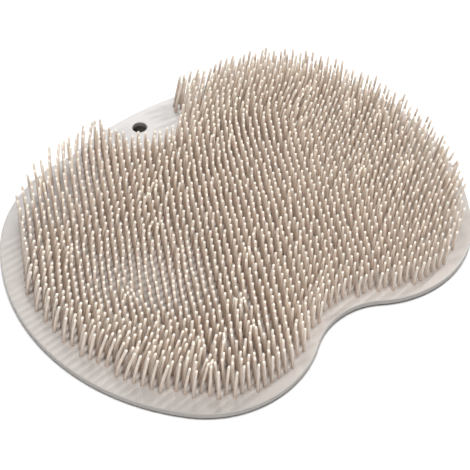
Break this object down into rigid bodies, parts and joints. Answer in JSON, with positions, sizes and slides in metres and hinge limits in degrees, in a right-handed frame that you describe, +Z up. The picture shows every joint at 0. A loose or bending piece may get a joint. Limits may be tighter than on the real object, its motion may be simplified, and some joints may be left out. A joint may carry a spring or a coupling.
{
  "type": "shower foot scrubber",
  "caption": "Two-lobed flat bath mat with a dense field of soft upright bristles for both feet, a hanging hole in its rear tab and suction cups below.",
  "frame": {"origin": "centre of the footprint, on the plane of the suction cups' rims", "axes": "+X along the two foot beds, +Y from the waist to the hanging tab, +Z up along the bristles"},
  "size_m": [0.305, 0.24, 0.0295],
  "materials": {
    "silicone": "soft matte moulded silicone in one warm beige grey"
  },
  "bodies": {
    "root": {"scrubber_mat": "silicone"}
  },
  "joints": []
}
